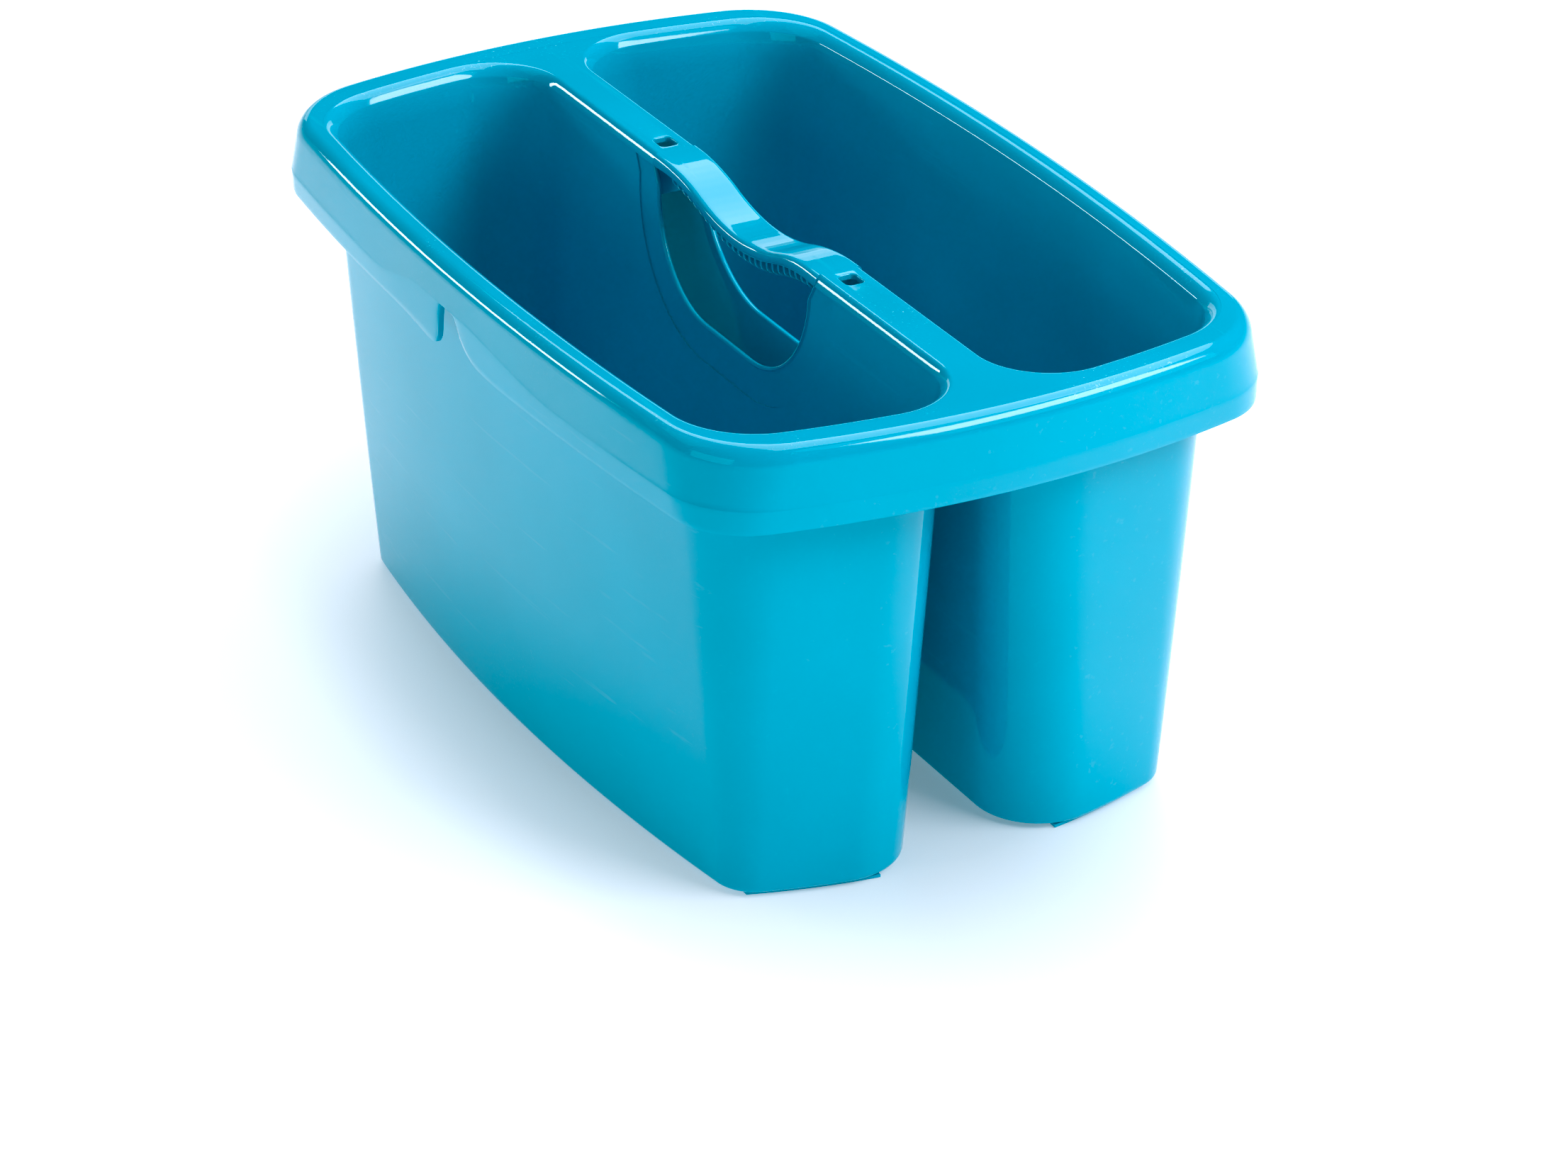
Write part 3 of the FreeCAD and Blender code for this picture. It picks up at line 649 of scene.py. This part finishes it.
def handle():
    """The carry handle: a dipped channel with rolled edges and side lips, over a comb of arched ribs. The
    ribs draw faint sink marks into its top."""
    rings = []
    stations = 200
    for station in range(stations + 1):
        y = -OPENING_TOP + 2.0 * OPENING_TOP * station / stations
        middle = 1.0 - ease(36.0, 64.0, abs(y))
        half = MOUTH.inner - 0.7 * middle
        roll_x = 2.5
        roll_z = LIP_DROP - 1.5 * middle
        ribbed = 1.0 - ease(50.0, 56.0, abs(y))
        sink = SINK * ribbed * math.cos(2.0 * math.pi * y / RIB_PITCH)
        top = handle_top(y)
        right = [(half * share, -sink - 0.04 * middle * (1.0 - share)) for share in (0.0, 0.35, 0.6)]
        right += [(half - roll_x + roll_x * up, -roll_z * across) for across, up in quarter(8)]
        right += [(half, -HANDLE_LIP + 0.5), (half - 0.3, -HANDLE_LIP + 0.1),
                  (half - WALL / 2.0, -HANDLE_LIP),
                  (half - WALL + 0.3, -HANDLE_LIP + 0.1), (half - WALL, -HANDLE_LIP + 0.5),
                  (half - WALL, -DECK - 0.8), (half - WALL - 0.8, -DECK), (0.0, -DECK)]
        left = [(-x, z) for x, z in right[1:-1]][::-1]
        rings.append([(x, y, top + z) for x, z in right + left])
    faces = bridge(rings)
    width = len(rings[0])
    faces += [tuple(range(width)), tuple(range(len(rings) * width - 1, (len(rings) - 1) * width - 1, -1))]
    points = flatten(rings)
    for number in range(-RIB_PAIRS, RIB_PAIRS + 1):
        add_rib(points, faces, number * RIB_PITCH)
    piece = make_piece("handle_strap", points, faces, sharp=40.0)
    return settle(piece, "handle")


def add_rib(points, faces, y):
    """One arched rib under the handle, with its lower edge rounded over."""
    half = MOUTH.inner - 0.7 - WALL + 0.1
    top = handle_top(y)
    rings = []
    for offset, shrink in ((-0.8, 0.45), (-0.62, 0.12), (-0.3, 0.0), (0.3, 0.0), (0.62, 0.12), (0.8, 0.45)):
        drop = RIB_DROP - shrink
        arch = []
        for step in range(17):
            turn = math.pi * step / 16.0
            across = math.copysign(abs(math.cos(turn)) ** RIB_FULLNESS, math.cos(turn))
            down = abs(math.sin(turn)) ** RIB_FULLNESS
            arch.append((half * across, y + offset, top - RIB_ROOT - drop * down))
        roof = [(-half, y + offset, top - DECK + 0.2), (half, y + offset, top - DECK + 0.2)]
        rings.append(arch + roof)
    start = len(points)
    width = len(rings[0])
    points += flatten(rings)
    faces += [tuple(start + index for index in face) for face in bridge(rings)]
    faces.append(tuple(range(start, start + width)))
    faces.append(tuple(range(start + len(rings) * width - 1, start + (len(rings) - 1) * width - 1, -1)))


def linear(hex_colour):
    """An sRGB hex colour as the linear RGBA that a shader takes."""
    channels = [int(hex_colour[index:index + 2], 16) / 255.0 for index in (1, 3, 5)]
    return [c / 12.92 if c <= 0.04045 else ((c + 0.055) / 1.055) ** 2.4 for c in channels] + [1.0]


def add_node(tree, kind, settings=None, **links):
    """Adds one node. settings sets its properties and, by name or index, its inputs; links joins inputs."""
    node = tree.nodes.new(kind)
    for key, value in (settings or {}).items():
        if isinstance(key, str) and hasattr(node, key):
            setattr(node, key, value)
        else:
            node.inputs[key].default_value = value
    for key, socket in links.items():
        name = int(key[1:]) if key[0] == "i" and key[1:].isdigit() else key.replace("_", " ")
        tree.links.new(socket, node.inputs[name])
    return node


def moulded_polypropylene():
    """Glossy injection-moulded polypropylene, mass-coloured cyan blue. To the eye: a wet-looking surface
    with a soft orange peel, slight cloudiness in the pigment, hairline rub marks and pale scuffs."""
    material = bpy.data.materials.new("moulded_polypropylene")
    material.use_nodes = True
    tree = material.node_tree
    tree.nodes.clear()
    place = add_node(tree, "ShaderNodeTexCoord").outputs["Object"]
    # Pigment flow: clouds about 60 mm across.
    flow = add_node(tree, "ShaderNodeTexNoise", {"Scale": 1.0 / 0.060, "Detail": 2.0, "Roughness": 0.4},
                    Vector=place)
    pigment = add_node(tree, "ShaderNodeValToRGB", Fac=flow.outputs["Fac"])
    pigment.color_ramp.elements[0].position = 0.35
    pigment.color_ramp.elements[0].color = linear("#009DBB")
    pigment.color_ramp.elements[1].position = 0.68
    pigment.color_ramp.elements[1].color = linear("#00A2C1")
    # Orange peel: shallow waves about 7 mm long, left by the mould's polish.
    peel = add_node(tree, "ShaderNodeTexNoise", {"Scale": 1.0 / 0.007, "Detail": 1.0, "Roughness": 0.5},
                    Vector=place)
    peel_bump = add_node(tree, "ShaderNodeBump", {"Strength": 0.06, "Distance": 0.0004},
                         Height=peel.outputs["Fac"])
    # Hairline rub marks, in two directions, drawn 0.35 mm wide where the real ones are finer.
    marks = None
    for turn in (0.5, -0.9):
        turned = add_node(tree, "ShaderNodeMapping",
                          {"Rotation": (0.2, turn, turn), "Scale": (1.0, 0.03, 1.0)}, Vector=place)
        grain = add_node(tree, "ShaderNodeTexNoise", {"Scale": 1.0 / 0.0035, "Detail": 3.0},
                         Vector=turned.outputs["Vector"])
        thin = add_node(tree, "ShaderNodeMapRange", {"From Min": 0.66, "From Max": 0.74},
                        Value=grain.outputs["Fac"])
        marks = thin if marks is None else add_node(
            tree, "ShaderNodeMath", {"operation": "MAXIMUM"}, i0=marks.outputs[0], i1=thin.outputs["Result"])
    fine = add_node(tree, "ShaderNodeTexNoise", {"Scale": 1.0 / 0.018, "Detail": 4.0}, Vector=place)
    worn = add_node(tree, "ShaderNodeMath", {"operation": "MULTIPLY"},
                    i0=marks.outputs[0], i1=fine.outputs["Fac"])
    gloss = add_node(tree, "ShaderNodeMapRange", {"To Min": 0.07, "To Max": 0.26}, Value=worn.outputs[0])
    # Whitened scuffs, mostly along the lips where bottles and brushes are lifted in and out.
    height = add_node(tree, "ShaderNodeSeparateXYZ", Vector=place).outputs["Z"]
    lips = add_node(tree, "ShaderNodeMapRange", {"From Min": 0.1945, "From Max": 0.1975, "To Min": 0.04},
                    Value=height)
    patches = add_node(tree, "ShaderNodeTexNoise", {"Scale": 1.0 / 0.045, "Detail": 1.0}, Vector=place)
    rubbed = add_node(tree, "ShaderNodeMapRange", {"From Min": 0.50, "From Max": 0.68},
                      Value=patches.outputs["Fac"])
    nicks = add_node(tree, "ShaderNodeTexNoise", {"Scale": 1.0 / 0.0016, "Detail": 3.0, "Roughness": 0.7},
                     Vector=place)
    nick = add_node(tree, "ShaderNodeMapRange", {"From Min": 0.60, "From Max": 0.72, "To Max": 0.7},
                    Value=nicks.outputs["Fac"])
    scuff = add_node(tree, "ShaderNodeMath", {"operation": "MULTIPLY"},
                     i0=rubbed.outputs["Result"], i1=nick.outputs["Result"])
    scuff = add_node(tree, "ShaderNodeMath", {"operation": "MULTIPLY"},
                     i0=scuff.outputs[0], i1=lips.outputs["Result"])
    faint = add_node(tree, "ShaderNodeMath", {"operation": "MULTIPLY", 1: 0.07}, i0=worn.outputs[0])
    whitened = add_node(tree, "ShaderNodeMath", {"operation": "MAXIMUM"},
                        i0=scuff.outputs[0], i1=faint.outputs[0])
    colour = add_node(tree, "ShaderNodeMix", {"data_type": "RGBA", 7: linear("#A9DCE8")},
                      Factor=whitened.outputs[0], i6=pigment.outputs["Color"])
    shader = add_node(tree, "ShaderNodeBsdfPrincipled",
                      {"IOR": 1.55, "Subsurface Weight": 0.0, "Specular IOR Level": 0.5},
                      Base_Color=colour.outputs[2], Roughness=gloss.outputs["Result"],
                      Normal=peel_bump.outputs["Normal"])
    out = add_node(tree, "ShaderNodeOutputMaterial", Surface=shader.outputs["BSDF"])
    out.is_active_output = True
    return material


# The lamps are a little cool.
DAYLIGHT = (0.84, 0.91, 1.0)


def studio_floor():
    """A wide white studio floor with a faint sheen. It glows with painted light: its emission lights the
    caddy from below and hides the floor's shadows.
    """
    material = bpy.data.materials.new("white_floor_painted_glow")
    material.use_nodes = True
    tree = material.node_tree
    tree.nodes.clear()
    place = add_node(tree, "ShaderNodeTexCoord").outputs["Object"]
    cloud = add_node(tree, "ShaderNodeTexNoise", {"Scale": 3.0}, Vector=place)
    tone = add_node(tree, "ShaderNodeMapRange", {"To Min": 0.36, "To Max": 0.44}, Value=cloud.outputs["Fac"])
    # The painted glow is weakest in the middle, round the caddy, which keeps the gap between the buckets in
    # shade; further out the floor glows fully.
    oval = add_node(tree, "ShaderNodeMapping", {"Scale": (1.0, 0.5, 1.0)}, Vector=place)
    away = add_node(tree, "ShaderNodeVectorMath", {"operation": "LENGTH"}, Vector=oval.outputs["Vector"])
    spread = add_node(tree, "ShaderNodeMapRange", {"From Min": 0.085, "From Max": 0.17},
                      Value=away.outputs["Value"])
    painted_glow = add_node(tree, "ShaderNodeValToRGB", Fac=spread.outputs["Result"])
    for element, strength in zip(painted_glow.color_ramp.elements, (0.24, 0.72)):
        element.color = (*[part * strength for part in DAYLIGHT], 1.0)
    # The emission colour is the painted glow, dim near the caddy and bright further out.
    shader = add_node(tree, "ShaderNodeBsdfPrincipled",
                      {"Base Color": linear("#D5D8DB"), "IOR": 1.49, "Emission Strength": 1.0},
                      Emission_Color=painted_glow.outputs["Color"], Roughness=tone.outputs["Result"])
    add_node(tree, "ShaderNodeOutputMaterial", Surface=shader.outputs["BSDF"])
    mesh = bpy.data.meshes.new("studio_floor")
    reach = 12.0
    corners = [(-reach, -reach, 0), (reach, -reach, 0), (reach, reach, 0), (-reach, reach, 0)]
    mesh.from_pydata(corners, [], [(0, 1, 2, 3)])
    floor = bpy.data.objects.new("studio_floor", mesh)
    floor.location.z = -0.0002
    bpy.context.scene.collection.objects.link(floor)
    mesh.materials.append(material)


def softbox(name, where, target, width, depth, power):
    """A rectangular area lamp that faces the target, its width level. Metres and watts."""
    light = bpy.data.lights.new(name, "AREA")
    light.shape = "RECTANGLE"
    light.size = width
    light.size_y = depth
    light.energy = power
    light.color = DAYLIGHT
    lamp = bpy.data.objects.new(name, light)
    aim = (Vector(target) - Vector(where)).normalized()
    level = aim.cross((0, 0, 1)) if abs(aim.z) < 0.99 else Vector((1, 0, 0))
    level.normalize()
    facing = Matrix((level, level.cross(aim), -aim)).transposed().to_4x4()
    lamp.matrix_world = Matrix.Translation(where) @ facing
    bpy.context.scene.collection.objects.link(lamp)
    return lamp


def towards(azimuth, elevation, distance):
    """The point that far from the caddy, the azimuth turning from +Y towards +X."""
    azimuth, elevation = math.radians(azimuth), math.radians(elevation)
    flat = distance * math.cos(elevation)
    return flat * math.sin(azimuth), flat * math.cos(azimuth), distance * math.sin(elevation) + 0.1


def light_studio():
    """A big softbox overhead and one in front with a bright core; weak ones beside and behind; a strip that
    draws the line along the rim; and a panel for the deck to mirror. The room is dark but for a pale band
    along the horizon."""
    softbox("overhead_softbox", (0.70, 0.75, 1.75), (0.70, 0.75, 0.0), 1.6, 2.8, 50.0)
    softbox("front_softbox", towards(143.0, 38.0, 2.2), (0, 0, 0.12), 1.5, 1.8, 13.0)
    softbox("front_softbox_core", towards(143.0, 40.0, 2.1), (0, 0, 0.12), 1.2, 0.7, 26.0)
    softbox("side_softbox", towards(-108.0, 19.0, 2.2), (0, 0, 0.1), 1.5, 0.8, 7.0)
    softbox("rear_softbox", towards(-58.0, 50.0, 2.3), (0, 0, 0.1), 1.4, 1.1, 3.0)
    softbox("rim_strip", towards(-36.0, 11.0, 2.4), (0, 0, 0.2), 0.9, 0.22, 9.0)
    softbox("backdrop_panel", towards(24.0, 12.0, 2.5), (0, 0, 0.1), 2.2, 0.5, 5.0)
    world = bpy.data.worlds.new("studio")
    bpy.context.scene.world = world
    world.use_nodes = True
    tree = world.node_tree
    sky = add_node(tree, "ShaderNodeTexCoord").outputs["Generated"]
    level = add_node(tree, "ShaderNodeSeparateXYZ", Vector=sky)
    band = add_node(tree, "ShaderNodeValToRGB", Fac=level.outputs["Z"])
    band.color_ramp.elements[0].position = 0.0
    band.color_ramp.elements[0].color = (0.62, 0.67, 0.74, 1.0)
    band.color_ramp.elements[1].position = 0.14
    band.color_ramp.elements[1].color = (0.04, 0.05, 0.055, 1.0)
    tree.links.new(band.outputs["Color"], tree.nodes["Background"].inputs["Color"])
    tree.nodes["Background"].inputs["Strength"].default_value = 1.0


def grade_picture():
    """Plain sRGB, with the weakest red held back so that the cyan plastic keeps its full depth."""
    view = bpy.context.scene.view_settings
    view.view_transform = "Standard"
    view.use_curve_mapping = True
    view.curve_mapping.black_level = (0.085, 0.0, 0.0)
    view.curve_mapping.update()


def place_camera():
    """A long lens, above and to the left of the caddy's front end."""
    place = (-0.89606, -1.64081, 1.02122)
    yaw, pitch, roll = 0.50604, 0.48571, 0.0047
    forward = Vector((math.sin(yaw) * math.cos(pitch), math.cos(yaw) * math.cos(pitch), -math.sin(pitch)))
    right = Vector((math.cos(yaw), -math.sin(yaw), 0.0))
    up = right.cross(forward)
    turned = right * math.cos(roll) + up * math.sin(roll)
    upright = up * math.cos(roll) - right * math.sin(roll)
    lens = bpy.data.cameras.new("camera")
    lens.lens = 122.4
    lens.clip_end = 50.0
    camera = bpy.data.objects.new("camera", lens)
    facing = Matrix((turned, upright, -forward)).transposed().to_4x4()
    camera.matrix_world = Matrix.Translation(place) @ facing
    bpy.context.scene.collection.objects.link(camera)
    bpy.context.scene.camera = camera


place_camera()
light_studio()
studio_floor()
for side in ("left", "right"):
    bucket(side)
    grip_frame(side)
rim_skirt()
rim_deck()
for end in ("front", "rear"):
    divider_deck(end)
handle()

polypropylene = moulded_polypropylene()
for piece in root_pieces:
    piece.data.materials.clear()
    piece.data.materials.append(polypropylene)
kept = [node for name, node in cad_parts.items() if name.startswith(("foot_", "end_web_"))]
for node in kept:
    for index in range(len(node.material_slots)):
        node.material_slots[index].material = polypropylene

grade_picture()
bpy.context.view_layer.update()
